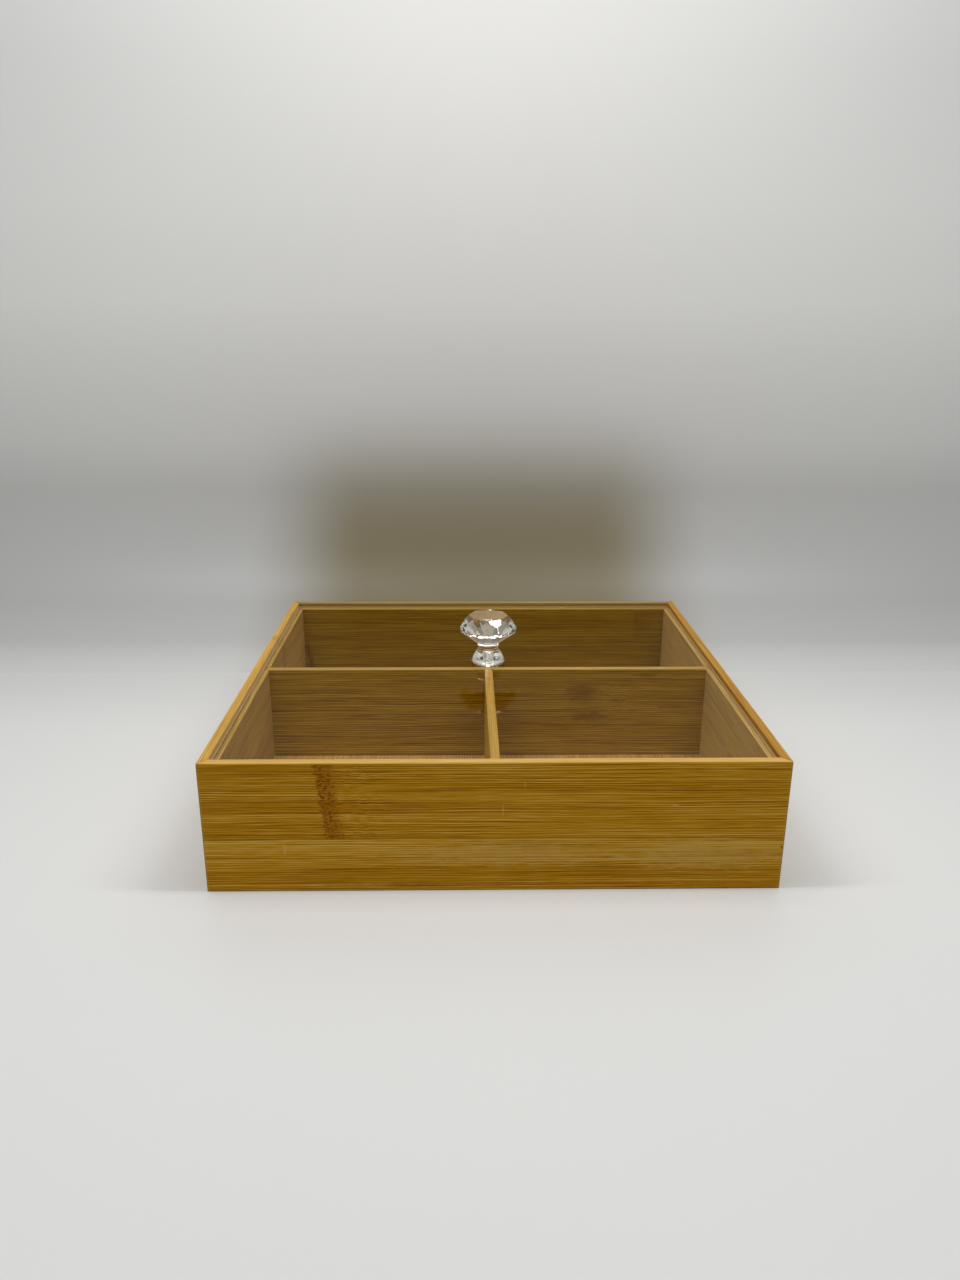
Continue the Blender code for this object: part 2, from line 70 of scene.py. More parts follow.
class Graph:
    """Short names for the shader nodes that the materials are made of."""

    def __init__(self, tree):
        self.tree = tree

    def node(self, kind, **settings):
        made = self.tree.nodes.new(kind)
        for name, value in settings.items():
            setattr(made, name, value)
        return made

    def feed(self, socket, value):
        if isinstance(value, bpy.types.NodeSocket):
            self.tree.links.new(value, socket)
        else:
            socket.default_value = value

    def math(self, operation, *values):
        made = self.node("ShaderNodeMath", operation=operation)
        for socket, value in zip(made.inputs, values):
            self.feed(socket, value)
        return made.outputs[0]

    def add(self, a, b):
        return self.math("ADD", a, b)

    def minus(self, a, b):
        return self.math("SUBTRACT", a, b)

    def times(self, a, b):
        return self.math("MULTIPLY", a, b)

    def plus_times(self, a, share, b):
        """a + share * b"""
        return self.math("MULTIPLY_ADD", b, share, a)

    def plus_swing(self, a, share, pattern):
        """a + share * (pattern - 0.5), for a pattern that runs from 0 to 1"""
        return self.plus_times(a, share, self.minus(pattern, 0.5))

    def size(self, a):
        return self.math("ABSOLUTE", a)

    def distance(self, a, b):
        return self.size(self.minus(a, b))

    def larger(self, a, b):
        return self.math("MAXIMUM", a, b)

    def least(self, *values):
        result = values[0]
        for value in values[1:]:
            result = self.math("MINIMUM", result, value)
        return result

    def vector(self, x, y, z):
        made = self.node("ShaderNodeCombineXYZ")
        for socket, value in zip(made.inputs, (x, y, z)):
            self.feed(socket, value)
        return made.outputs[0]

    def noise(self, places, rates, detail, roughness):
        """Noise with so many cells per millimetre along each of the three places."""
        made = self.node("ShaderNodeTexNoise", noise_dimensions="3D")
        scaled = [self.times(place, rate) for place, rate in zip(places, rates)]
        self.feed(made.inputs["Vector"], self.vector(*scaled))
        made.inputs["Scale"].default_value = 1.0
        made.inputs["Detail"].default_value = detail
        made.inputs["Roughness"].default_value = roughness
        return made.outputs[0]

    def step(self, value, start, stop, low=0.0, high=1.0):
        """A smooth step from low at start to high at stop."""
        made = self.node("ShaderNodeMapRange", interpolation_type="SMOOTHSTEP")
        for name, given in (("Value", value), ("From Min", start), ("From Max", stop),
                            ("To Min", low), ("To Max", high)):
            self.feed(made.inputs[name], given)
        return made.outputs[0]

    def mix(self, factor, a, b, blend="MIX"):
        made = self.node("ShaderNodeMix", data_type="RGBA", blend_type=blend)
        self.feed(made.inputs[0], factor)
        self.feed(made.inputs[6], as_colour(a))
        self.feed(made.inputs[7], as_colour(b))
        return made.outputs[2]

    def shade(self, mask, colour, shade):
        """The colour, multiplied by the shade where the mask is 1."""
        return self.mix(mask, colour, self.mix(1.0, colour, shade, "MULTIPLY"))

    def ramp(self, value, stops):
        made = self.node("ShaderNodeValToRGB")
        elements = made.color_ramp.elements
        while len(elements) < len(stops):
            elements.new(0.5)
        for element, (place, colour) in zip(elements, stops):
            element.position = place
            element.color = as_colour(colour)
        self.feed(made.inputs[0], value)
        return made.outputs[0]

    def bump(self, height, distance, strength=1.0):
        made = self.node("ShaderNodeBump")
        made.inputs["Strength"].default_value = strength
        made.inputs["Distance"].default_value = distance
        self.feed(made.inputs["Height"], height)
        return made.outputs[0]

    def shader(self, kind, **inputs):
        made = self.node(kind)
        for name, value in inputs.items():
            self.feed(made.inputs[name], value)
        return made.outputs[0]

    def clear(self, colour):
        return self.shader("ShaderNodeBsdfTransparent", Color=colour)

    def blend(self, share, shader, other):
        """A share of the other shader, and the rest of the first."""
        made = self.node("ShaderNodeMixShader")
        for socket, value in zip(made.inputs, (share, shader, other)):
            self.feed(socket, value)
        return made.outputs[0]

    def show(self, shader):
        self.feed(self.tree.nodes["Material Output"].inputs["Surface"], shader)

    def position(self):
        """Object coordinates in millimetres, as three sockets."""
        scaled = self.node("ShaderNodeVectorMath", operation="SCALE")
        self.feed(scaled.inputs[0], self.node("ShaderNodeTexCoord").outputs["Object"])
        scaled.inputs["Scale"].default_value = 1 / MM
        parts = self.node("ShaderNodeSeparateXYZ")
        self.feed(parts.inputs[0], scaled.outputs[0])
        return tuple(parts.outputs)


def as_colour(value):
    if isinstance(value, tuple) and len(value) == 3:
        return (*value, 1.0)
    return value


def new_material(name):
    """A material, its graph and its principled shader."""
    material = bpy.data.materials.new(name)
    material.use_nodes = True
    return material, Graph(material.node_tree), material.node_tree.nodes["Principled BSDF"]


def dress(node, material):
    slots = nodes[node].data.materials
    slots.clear()
    slots.append(material)


# Bamboo colours
GRAIN_STOPS = ((0.00, (0.190, 0.066, 0.0005)), (0.28, (0.350, 0.142, 0.001)),
               (0.55, (0.520, 0.240, 0.003)), (0.80, (0.660, 0.355, 0.024)),
               (1.00, (0.780, 0.480, 0.100)))
BAMBOO_PALE = (0.780, 0.480, 0.120)
NODE_TINT = (0.420, 0.135, 0.0)
NODE_BROWN = (0.145, 0.045, 0.0005)
NODE_SPECK = (0.700, 0.370, 0.020)
SEAM_BROWN = (0.110, 0.040, 0.001)
RED_BROWN = (0.420, 0.110, 0.002)
PURPLE_BROWN = (0.330, 0.130, 0.028)
GREY_TAN = (0.660, 0.410, 0.100)
DEEP_GOLD = (0.260, 0.098, 0.0005)
# From here on the colours are painted light and shade: a painted reflection over the inner faces, a
# painted sheen, painted light in the gap below the lid's top and on the rebate's sides, and painted
# shadow and shade on the rebate's sides
INNER_PAINTED_REFLECTION = (0.420, 0.265, 0.180)
PAINTED_SHEEN = (0.760, 0.520, 0.230)
GAP_PAINTED_LIGHT = (0.800, 0.600, 0.340)
REBATE_PAINTED_LIGHT = (0.640, 0.450, 0.220)
REBATE_SHADOW = (0.240, 0.100, 0.005)
BACK_REBATE_PAINTED_SHADE = (0.270, 0.180, 0.050)

# Painted shade on the faces where a piece is given none of its own: on the inner faces and the tops of
# rim and ledge, painted light on the rebate's sides, and the share of a painted sheen on the outer faces
INNER_SHADE = (0.74, 0.90, 0.70)
RIM_SHADE = (0.82, 0.85, 0.90)
LEDGE_SHADE = (0.70, 0.76, 0.84)
REBATE = (REBATE_PAINTED_LIGHT, 0.40)
OUTER_PAINTED_SHEEN_SHARE = 0.07

# Bamboo noises: cells per millimetre along the fibres, across them and in depth, detail, roughness
WANDER_NOISE = ((1 / 90, 1 / 14, 1 / 14), 1.0, 0.5)
NODE_EDGE_NOISE = ((0.10, 0.90, 0.80), 3.0, 0.65)
RIPPLE_NOISE = ((0.22, 0.42, 0.30), 2.0, 0.5)
SPECK_NOISE = ((0.90, 1.50, 0.90), 2.0, 0.6)
DASH_NOISE = ((0.30, 1.30, 0.90), 2.0, 0.6)
MOTTLE_NOISE = ((0.62, 1.05, 0.90), 3.0, 0.70)
BLOTCH_NOISE = ((1 / 7, 1 / 2, 1 / 3), 4.0, 0.65)
SEAM_NOISE = ((1 / 60, 0.0, 1 / 9), 2.0, 0.5)

# The same for the noise on the arrises, but along the tray's own three axes
ARRIS_NOISE = ((0.3, 0.3, 0.6), 3.0, 0.6)

# Streaks: length and width of their cells, then their share of the grain's lightness if they have one
BROAD_STREAKS = (140.0, 6.5, 0.36)
MIDDLE_STREAKS = (120.0, 2.4, 0.16)
FINE_STREAKS = (100.0, 0.62, 0.66)
FINEST_STREAKS = (16.0, 0.50, 0.74)
DARK_LINES = (90.0, 1.1, -0.22)
COMB_GATE = (90.0, 5.0)
COMB_DRIFT = (90.0, 3.0)
STREAK_ROUGHNESS = 0.55
COMB_PITCH = 1.12
COMB_SHARE = 0.24
COMB_DRIFT_REACH = 2.4
GRAIN_LIGHTNESS = 0.60

# Where smooth steps start and stop, and from which value to which they run if not from 0 to 1
LINE_STEP = (0.60, 0.68)
GATE_STEP = (0.35, 0.60, 0.40, 1.0)
NODE_START = (-4.6, -3.4)
NODE_STOP = (5.6, 1.2)
NODE_DARK_STEP = (0.51, 0.42, 0.0, 0.80)
NODE_PALE_HALF = (1.0, -2.5)
SPECK_STEP = (0.58, 0.64, 0.0, 0.55)
RIPPLE_STEP = (24.0, 3.0)
STAIN_STEP = (1.3, -0.1)
SEAM_STEP = (0.50, 0.10)
SEAM_UNEVEN_STEP = (0.42, 0.62, 0.12, 0.70)
ARRIS_STEP = (0.75, -0.15)

# Shifts, reaches and fades of the fibres, nodes, bands, stains, arrises and seams
STRIP_SHIFT = 61.7
WANDER_REACH = 1.4
RIPPLE_REACH = 1.3
RIPPLE_MIDDLE = 9.0
NODE_RAGGEDNESS = 7.0
NODE_END_FADE = 0.4
NODE_DARK_DRIFT = 0.012
BAND_SHIFT = 1.0
BAND_CORE_SHARE = 0.4
FINE_EDGE_REACH = -1.6
BLOTCH_EDGE_REACH = -4.0
ARRIS_EDGE_REACH = -0.9
SEAM_FADE_LENGTH = 15.0
SEAM_FAINT = 0.12
SEAM_END_STRENGTHS = (0.70, 0.50)

# Shares of the dashes, the painted sheen on the tops, the painted light below the lid's top and the wear,
# and the surface's gloss and relief
DASH_SHARE = 0.60
NODE_TINT_SHARE = 0.60
TOP_PAINTED_SHEEN_SHARE = 0.35
GAP_PAINTED_LIGHT_SHARE = 0.70
WORN_SHARE = 0.20
ROUGHNESS_LOW, ROUGHNESS_SWING = 0.40, 0.14
FIBRE_HEIGHT_SHARE, LINE_HEIGHT_SHARE = 0.7, -0.5
FIBRE_RELIEF = 0.04 * MM
FIBRE_RELIEF_STRENGTH = 0.6
BAMBOO_SPECULAR = 0.03

# Masks of the faces: how far from a face they start and where they are full
ON_FACE = (0.30, 0.05)
BESIDE_FACE = (0.25, 0.05)
WITHIN_RIM = (0.30, 0.10)
OUTER_FACE = (-0.40, -0.10)
UNDER_LEDGE_START, UNDER_LEDGE_STOP = 0.02, 0.30
OVER_LEDGE = 0.4
LID_TOP_FADE = 0.1


def worn_arris(g, x, y, z):
    """1 on the tray's outer arrises, fading within a millimetre of them."""
    from_side = g.minus(TRAY_HALF.x, g.size(x))
    from_end = g.minus(TRAY_HALF.y, g.size(y))
    from_top = g.minus(TRAY_TOP, z)
    pairs = ((from_side, from_end), (from_side, from_top), (from_end, from_top),
             (from_side, z), (from_end, z))
    nearest = g.least(*[g.larger(a, b) for a, b in pairs])
    ragged = g.noise((x, y, z), *ARRIS_NOISE)
    return g.step(g.plus_times(nearest, ARRIS_EDGE_REACH, ragged), *ARRIS_STEP)


def face_masks(g, x, y, z):
    """Masks that tell the tray's faces apart by their places, by name."""
    def beyond(width):
        """How far a place is outside the line that runs this far within the outer faces."""
        return g.larger(g.minus(g.size(x), TRAY_HALF.x - width),
                        g.minus(g.size(y), TRAY_HALF.y - width))

    lid_top = LID_HIGH.z / MM
    rim_top = g.step(g.distance(z, TRAY_TOP), *ON_FACE)
    over_ledge = g.step(z, LEDGE_TOP, LEDGE_TOP + OVER_LEDGE)
    return {
        "inner": g.times(g.step(beyond(WALL_WIDTH), *BESIDE_FACE),
                         g.step(z, LEDGE_TOP - UNDER_LEDGE_START, LEDGE_TOP - UNDER_LEDGE_STOP)),
        "rim_top": rim_top,
        "ledge_top": g.times(g.step(g.distance(z, LEDGE_TOP), *ON_FACE),
                             g.step(beyond(RIM_WIDTH), *WITHIN_RIM)),
        "rebate": g.times(g.step(g.size(beyond(RIM_WIDTH)), *BESIDE_FACE),
                          g.times(over_ledge, g.minus(1.0, rim_top))),
        "below_lid_top": g.step(z, lid_top + LID_TOP_FADE, lid_top - LID_TOP_FADE),
        "outer": g.step(beyond(0.0), *OUTER_FACE),
    }


def paint_face_light_and_wear(g, colour, axes, inner_shade=INNER_SHADE, inner_tan=0.0, rim_shade=RIM_SHADE,
               ledge_shade=LEDGE_SHADE, rebate=REBATE, outer_tan=OUTER_PAINTED_SHEEN_SHARE):
    """Paint light and shade onto the faces, then lighten the worn arrises: a painted sheen on the outer
    faces, painted shade or light and a painted reflection on the inner faces, a painted sheen and painted
    shade on the tops of rim and ledge, and painted light or shadow on the rebate's sides, with painted
    light on them below the lid's top.
    """
    masks = face_masks(g, *axes)
    tops = g.add(masks["rim_top"], masks["ledge_top"])
    in_gap = g.times(masks["rebate"], masks["below_lid_top"])
    rebate_colour, rebate_share = rebate
    # Painted sheen on the outer faces
    colour = g.mix(g.times(masks["outer"], outer_tan), colour, PAINTED_SHEEN)
    # Painted shade on the inner faces, or painted light where a shade is above one, under a painted
    # reflection
    colour = g.shade(masks["inner"], colour, inner_shade)
    colour = g.mix(g.times(masks["inner"], inner_tan), colour, INNER_PAINTED_REFLECTION)
    # Painted sheen, then painted shade, on the tops of rim and ledge
    colour = g.mix(g.times(tops, TOP_PAINTED_SHEEN_SHARE), colour, PAINTED_SHEEN)
    colour = g.shade(masks["rim_top"], colour, rim_shade)
    colour = g.shade(masks["ledge_top"], colour, ledge_shade)
    # Painted light or painted shadow on the rebate's sides, and painted light on them below the lid's top
    colour = g.mix(g.times(masks["rebate"], rebate_share), colour, rebate_colour)
    colour = g.mix(g.times(in_gap, GAP_PAINTED_LIGHT_SHARE), colour, GAP_PAINTED_LIGHT)
    return g.mix(g.times(worn_arris(g, *axes), WORN_SHARE), colour, BAMBOO_PALE)


def strips_of(g, across, seams, tones):
    """The number and the tone of the strip at each place."""
    strip, tone = 0.0, tones[0]
    for seam, tone_below, tone_above in zip(seams, tones, tones[1:]):
        above = g.math("GREATER_THAN", across, seam)
        strip = g.add(above, strip)
        tone = g.plus_times(tone, tone_above - tone_below, above)
    return strip, tone


def culm_nodes(g, places, marks):
    """Masks near and on the culm nodes, and how far along a place is from their ragged middle."""
    along, across, _ = places
    near_mark, in_mark, off_mark = 0.0, 0.0, 0.0
    for place, slope, low, high, width, strength in marks:
        ragged = g.noise(places, *NODE_EDGE_NOISE)
        off = g.times(g.minus(g.plus_times(along, -slope, across), place), 1 / width)
        ragged_off = g.plus_swing(off, NODE_RAGGEDNESS, ragged)
        inside = g.times(g.step(across, low, low + NODE_END_FADE),
                         g.step(across, high, high - NODE_END_FADE))
        body = g.times(g.step(ragged_off, *NODE_START), g.step(ragged_off, *NODE_STOP, 0.0, strength))
        in_mark = g.larger(g.times(body, inside), in_mark)
        kept = g.times(off_mark, g.minus(1.0, inside))
        off_mark = g.add(g.times(ragged_off, inside), kept)
        reach = g.step(g.distance(off, RIPPLE_MIDDLE), *RIPPLE_STEP)
        near_mark = g.larger(g.times(reach, inside), near_mark)
    return near_mark, in_mark, off_mark


def colour_nodes(g, colour, places, in_mark, off_mark):
    """Tint the culm nodes, with dark bits all over and pale specks on their left half."""
    colour = g.mix(g.times(in_mark, NODE_TINT_SHARE), colour, NODE_TINT)
    mottle = g.noise(places, *MOTTLE_NOISE)
    dark = g.step(g.plus_times(mottle, NODE_DARK_DRIFT, off_mark), *NODE_DARK_STEP)
    colour = g.mix(g.times(in_mark, dark), colour, NODE_BROWN)
    specks = g.step(g.noise(places, *SPECK_NOISE), *SPECK_STEP)
    light = g.times(g.step(off_mark, *NODE_PALE_HALF), specks)
    return g.mix(g.times(in_mark, light), colour, NODE_SPECK)


def colour_stains(g, colour, places, fine, stains):
    """Soft patches with edges that follow the fibres."""
    along, across, _ = places
    blotches = g.noise(places, *BLOTCH_NOISE)
    uneven_edge = g.plus_swing(g.times(g.minus(fine, 0.5), FINE_EDGE_REACH), BLOTCH_EDGE_REACH, blotches)
    for middle_along, middle_across, half_length, half_width, stain, strength in stains:
        u = g.times(g.minus(along, middle_along), 1 / half_length)
        v = g.times(g.minus(across, middle_across), 1 / half_width)
        spread = g.add(g.add(g.times(u, u), g.times(v, v)), uneven_edge)
        colour = g.mix(g.step(spread, *STAIN_STEP, 0.0, strength), colour, stain)
    return colour


def colour_seams(g, colour, places, seams, seam_ends):
    """Dark glue seams, faint between their two ends where these are given and else uneven."""
    along, across, _ = places
    for seam in seams:
        if seam_ends:
            left, right = seam_ends
            left_strength, right_strength = SEAM_END_STRENGTHS
            shown = g.larger(g.step(along, left + SEAM_FADE_LENGTH, left, SEAM_FAINT, left_strength),
                             g.step(along, right - SEAM_FADE_LENGTH, right, SEAM_FAINT, right_strength))
        else:
            shown = g.step(g.noise(places, *SEAM_NOISE), *SEAM_UNEVEN_STEP)
        on_seam = g.step(g.distance(across, seam), *SEAM_STEP)
        colour = g.mix(g.times(on_seam, shown), colour, SEAM_BROWN)
    return colour


def bamboo(name, along, across, seams=(), tones=(0.0,), marks=(), bands=(), stains=(), seam_ends=(),
           seed=0.0, contrast=1.0, **painted_face_light):
    """Laminated bamboo: strips, combed fibres, dark lines, culm nodes, stains and worn arrises, with
    painted light and shade on its faces.

    along and across are axis numbers. seams are heights across the strips, and tones the strips'
    lightness. marks are the culm nodes: (place along, slope, lowest and highest place across, width,
    strength). bands are (place across, half width, lightness). stains are (place along, place across,
    half length, half width, colour, strength). The remaining keyword arguments are the painted light and
    shade that go to the function which paints them on the faces.
    """
    material, g, shader = new_material(name)
    axes = g.position()
    places = axes[along], axes[across], axes[X + Y + Z - along - across]
    a, c, d = places
    strip, tone = strips_of(g, c, seams, tones)
    shift = g.plus_times(seed, STRIP_SHIFT, strip)
    far = g.add(a, shift)
    bent = g.plus_times(c, WANDER_REACH, g.noise((far, c, d), *WANDER_NOISE))
    near_mark, in_mark, off_mark = culm_nodes(g, places, marks)
    if marks:
        ripple = g.minus(g.noise(places, *RIPPLE_NOISE), 0.5)
        bent = g.plus_times(bent, RIPPLE_REACH, g.times(ripple, near_mark))

    def streaks(length, width, *_):
        rates = (1 / length, 1 / width, 1 / width)
        return g.noise((far, g.add(bent, shift), d), rates, 1.0, STREAK_ROUGHNESS)

    middle, fine = streaks(*MIDDLE_STREAKS), streaks(*FINE_STREAKS)
    lines = g.step(streaks(*DARK_LINES), *LINE_STEP)
    phase = g.plus_times(g.add(bent, d), COMB_DRIFT_REACH, streaks(*COMB_DRIFT))
    comb = g.times(g.math("SINE", g.times(phase, math.tau / COMB_PITCH)),
                   g.step(streaks(*COMB_GATE), *GATE_STEP))

    value = g.add(GRAIN_LIGHTNESS, tone)
    for pattern, sizes in ((streaks(*BROAD_STREAKS), BROAD_STREAKS), (middle, MIDDLE_STREAKS),
                           (fine, FINE_STREAKS), (streaks(*FINEST_STREAKS), FINEST_STREAKS)):
        value = g.plus_swing(value, sizes[-1] * contrast, pattern)
    value = g.plus_times(value, COMB_SHARE * contrast, comb)
    value = g.plus_times(value, DARK_LINES[-1] * contrast, lines)
    for centre, half_width, lightness in bands:
        away = g.distance(bent, centre + BAND_SHIFT)
        value = g.plus_times(value, lightness, g.step(away, half_width, half_width * BAND_CORE_SHARE))
    if marks:
        dashes = g.minus(g.noise((a, bent, d), *DASH_NOISE), 0.5)
        value = g.plus_times(value, DASH_SHARE, g.times(near_mark, dashes))

    colour = g.ramp(value, GRAIN_STOPS)
    if stains:
        colour = colour_stains(g, colour, places, fine, stains)
    if marks:
        colour = colour_nodes(g, colour, places, in_mark, off_mark)
    colour = colour_seams(g, colour, places, seams, seam_ends)
    g.feed(shader.inputs["Base Color"], paint_face_light_and_wear(g, colour, axes, **painted_face_light))
    g.feed(shader.inputs["Roughness"], g.plus_times(ROUGHNESS_LOW, ROUGHNESS_SWING, middle))
    height = g.plus_times(g.times(fine, FIBRE_HEIGHT_SHARE), LINE_HEIGHT_SHARE, lines)
    g.feed(shader.inputs["Normal"], g.bump(height, FIBRE_RELIEF, FIBRE_RELIEF_STRENGTH))
    shader.inputs["Specular IOR Level"].default_value = BAMBOO_SPECULAR
    return material


def dress_bamboo(node, along, across, **looks):
    dress(node, bamboo(node + "_bamboo", along, across, **looks))


# Clear plastic
ACRYLIC_IOR = 1.49
CLEARNESS = (0.96, 0.96, 0.955, 1.0)
SMEAR_NOISE = ((1 / 23, 1 / 31, 1 / 20), 4.0, 0.6)
SMEAR_STEP = (0.45, 0.75)
WAVE_DETAIL, WAVE_ROUGHNESS = 1.0, 0.5
KNOB_TINT = (0.96, 0.94, 0.90, 1.0)
KNOB_WAVE_HEIGHT = 0.08 * MM
KNOB_WAVE_LENGTH = 2.6
KNOB_HAZE = 0.03
LID_WAVE_HEIGHT = 0.02 * MM
LID_WAVE_LENGTH = 60.0
LID_HAZE = 0.02
LID_REFLECTION_SHARE = 0.55
LID_FRESNEL_LIMIT = 0.12
LID_SHEEN = (1.0, 0.80, 0.42, 1.0)
TRAPPED_STEP = (0.90, 0.99)
EDGE_START = (0.02, 0.04)
EDGE_CLEARNESS_SHARE = 0.70
EDGE_HAZE_SHARE = 0.70
SAWN_NOISE = ((1 / 9, 1 / 9, 1 / 0.8), 3.0, 0.6)
SAWN_DARK = (0.52, 0.55, 0.53)
SAWN_PALE = (0.78, 0.80, 0.78)

# Zinc-plated steel
RING_NOISE = ((0.4, 0.4, 5.0), 3.0, 0.5)
ZINC_DARK = (0.62, 0.62, 0.61)
ZINC_PALE = (0.80, 0.80, 0.79)
ZINC_ROUGHNESS_STEP = (0.3, 0.7, 0.20, 0.36)
RING_RELIEF, RING_RELIEF_STRENGTH = 0.01 * MM, 0.4

# Dried glue
GLUE_NOISE = ((0.4, 0.4, 0.25), 3.0, 0.5)
GLUE_DARK = (0.20, 0.10, 0.02)
GLUE_PALE = (0.46, 0.26, 0.06)
GLUE_ROUGHNESS_STEP = (0.3, 0.7, 0.35, 0.60)
GLUE_RELIEF, GLUE_RELIEF_STRENGTH = 0.05 * MM, 0.5


def let_light_through(g, glass):
    """Shadow rays and rays from matt surfaces pass the plastic straight, without bending."""
    path = g.node("ShaderNodeLightPath")
    straight = g.larger(path.outputs["Is Shadow Ray"], path.outputs["Is Diffuse Ray"])
    g.show(g.blend(straight, glass, g.clear(CLEARNESS)))


def acrylic(name, wave_height, wave_length, haze, tint=WHITE):
    """Acrylic that bends what is seen through it: material, graph, shader, bumps and roughness."""
    material, g, shader = new_material(name)
    places = g.position()
    shader.inputs["Base Color"].default_value = tint
    shader.inputs["Transmission Weight"].default_value = 1.0
    shader.inputs["IOR"].default_value = ACRYLIC_IOR
    waves = g.noise(places, (1 / wave_length,) * 3, WAVE_DETAIL, WAVE_ROUGHNESS)
    bumps = g.bump(waves, wave_height)
    roughness = g.step(g.noise(places, *SMEAR_NOISE), *SMEAR_STEP, 0.0, haze)
    g.feed(shader.inputs["Normal"], bumps)
    g.feed(shader.inputs["Roughness"], roughness)
    return material, g, shader.outputs[0], bumps, roughness


def clear_moulding(name):
    material, g, glass, _, _ = acrylic(name, KNOB_WAVE_HEIGHT, KNOB_WAVE_LENGTH, KNOB_HAZE, KNOB_TINT)
    let_light_through(g, glass)
    return material


def clear_sheet(name):
    """The lid: its broad faces bend what lies behind them, under a weak reflection.

    Light that meets them from inside at a flat angle is reflected whole and leaves by the edges,
    which are sawn and cloudy.
    """
    material, g, glass, bumps, roughness = acrylic(name, LID_WAVE_HEIGHT, LID_WAVE_LENGTH, LID_HAZE)
    places = g.position()
    z = places[Z]
    fresnel = g.shader("ShaderNodeFresnel", IOR=ACRYLIC_IOR)
    from_inside = g.node("ShaderNodeNewGeometry").outputs["Backfacing"]
    from_outside = g.minus(1.0, from_inside)

    sheen = g.shader("ShaderNodeBsdfGlossy", Color=LID_SHEEN, Roughness=roughness, Normal=bumps)
    bent = g.shader("ShaderNodeBsdfRefraction", Color=CLEARNESS, IOR=ACRYLIC_IOR, Roughness=roughness,
                    Normal=bumps)
    limited = g.times(g.least(fresnel, LID_FRESNEL_LIMIT), LID_REFLECTION_SHARE)
    inside_mirror = g.shader("ShaderNodeBsdfGlossy", Color=WHITE, Roughness=0.0)
    trapped = g.times(g.step(fresnel, *TRAPPED_STEP), from_inside)
    broad = g.blend(trapped, g.blend(g.times(limited, from_outside), bent, sheen), inside_mirror)

    cloudy = g.mix(g.noise(places, *SAWN_NOISE), SAWN_DARK, SAWN_PALE)
    sawn = g.shader("ShaderNodeBsdfDiffuse", Color=cloudy)
    edge = g.blend(from_inside, g.blend(EDGE_HAZE_SHARE, glass, sawn),
                   g.blend(EDGE_CLEARNESS_SHARE, glass, g.clear(CLEARNESS)))
    from_face = g.least(g.distance(z, LID_LOW.z / MM), g.distance(z, LID_HIGH.z / MM))
    let_light_through(g, g.blend(g.step(from_face, *EDGE_START), broad, edge))
    return material


def uneven_material(name, noise, dark, pale, roughness_step, relief, relief_strength):
    """A material whose colour, roughness and relief follow one noise, and its shader."""
    material, g, shader = new_material(name)
    uneven = g.noise(g.position(), *noise)
    g.feed(shader.inputs["Base Color"], g.mix(uneven, dark, pale))
    g.feed(shader.inputs["Roughness"], g.step(uneven, *roughness_step))
    g.feed(shader.inputs["Normal"], g.bump(uneven, relief, relief_strength))
    return material, shader


def zinc_steel(name):
    material, shader = uneven_material(name, RING_NOISE, ZINC_DARK, ZINC_PALE, ZINC_ROUGHNESS_STEP,
                                       RING_RELIEF, RING_RELIEF_STRENGTH)
    shader.inputs["Metallic"].default_value = 1.0
    return material


def dried_glue(name):
    return uneven_material(name, GLUE_NOISE, GLUE_DARK, GLUE_PALE, GLUE_ROUGHNESS_STEP,
                           GLUE_RELIEF, GLUE_RELIEF_STRENGTH)[0]


# Making pieces

TURN_STEPS = 96


def link(name, mesh, material):
    thing = bpy.data.objects.new(name, mesh)
    thing.data.materials.append(material)
    bpy.context.scene.collection.objects.link(thing)
    return thing


def mesh_from(builder, name):
    mesh = bpy.data.meshes.new(name)
    bmesh.ops.recalc_face_normals(builder, faces=builder.faces)
    builder.to_mesh(mesh)
    builder.free()
    return mesh


def turned_mesh(name, outline):
    """A closed solid of revolution round the Z axis. The outline runs from axis to axis."""
    builder = bmesh.new()
    turns = [math.tau * step / TURN_STEPS for step in range(TURN_STEPS)]
    rings = []
    for radius, height in outline:
        if radius == 0:
            rings.append([builder.verts.new((0, 0, height))])
        else:
            rings.append([builder.verts.new((radius * math.cos(turn), radius * math.sin(turn), height))
                          for turn in turns])
    for upper, lower in zip(rings, rings[1:]):
        for step in range(TURN_STEPS):
            after = (step + 1) % TURN_STEPS
            corners = [upper[step % len(upper)], lower[step % len(lower)],
                       lower[after % len(lower)], upper[after % len(upper)]]
            unique = list(dict.fromkeys(corners))
            if len(unique) > 2:
                builder.faces.new(unique)
    for face in builder.faces:
        face.smooth = True
    return mesh_from(builder, name)


def slice_away(builder, point, normal):
    everything = builder.verts[:] + builder.edges[:] + builder.faces[:]
    cut = bmesh.ops.bisect_plane(builder, geom=everything, plane_co=point, plane_no=normal,
                                 clear_outer=True)["geom_cut"]
    rim = [item for item in cut if isinstance(item, bmesh.types.BMEdge)]
    bmesh.ops.edgenet_fill(builder, edges=rim)


def join(thing, other, operation):
    """Change the thing by a boolean with the other, which is used up."""
    cut = thing.modifiers.new(operation, "BOOLEAN")
    cut.operation = operation
    cut.solver = "EXACT"
    cut.object = other
    graph = bpy.context.evaluated_depsgraph_get()
    mesh = bpy.data.meshes.new_from_object(thing.evaluated_get(graph))
    thing.modifiers.clear()
    thing.data = mesh
    bpy.data.objects.remove(other)


def set_on_knob_axis(thing, height):
    """Scale a mesh made in millimetres round the origin, and stand it on the knob's axis."""
    thing.data.transform(Matrix.Translation(KNOB_AXIS + Vector((0, 0, height))) @ Matrix.Scale(MM, 4))


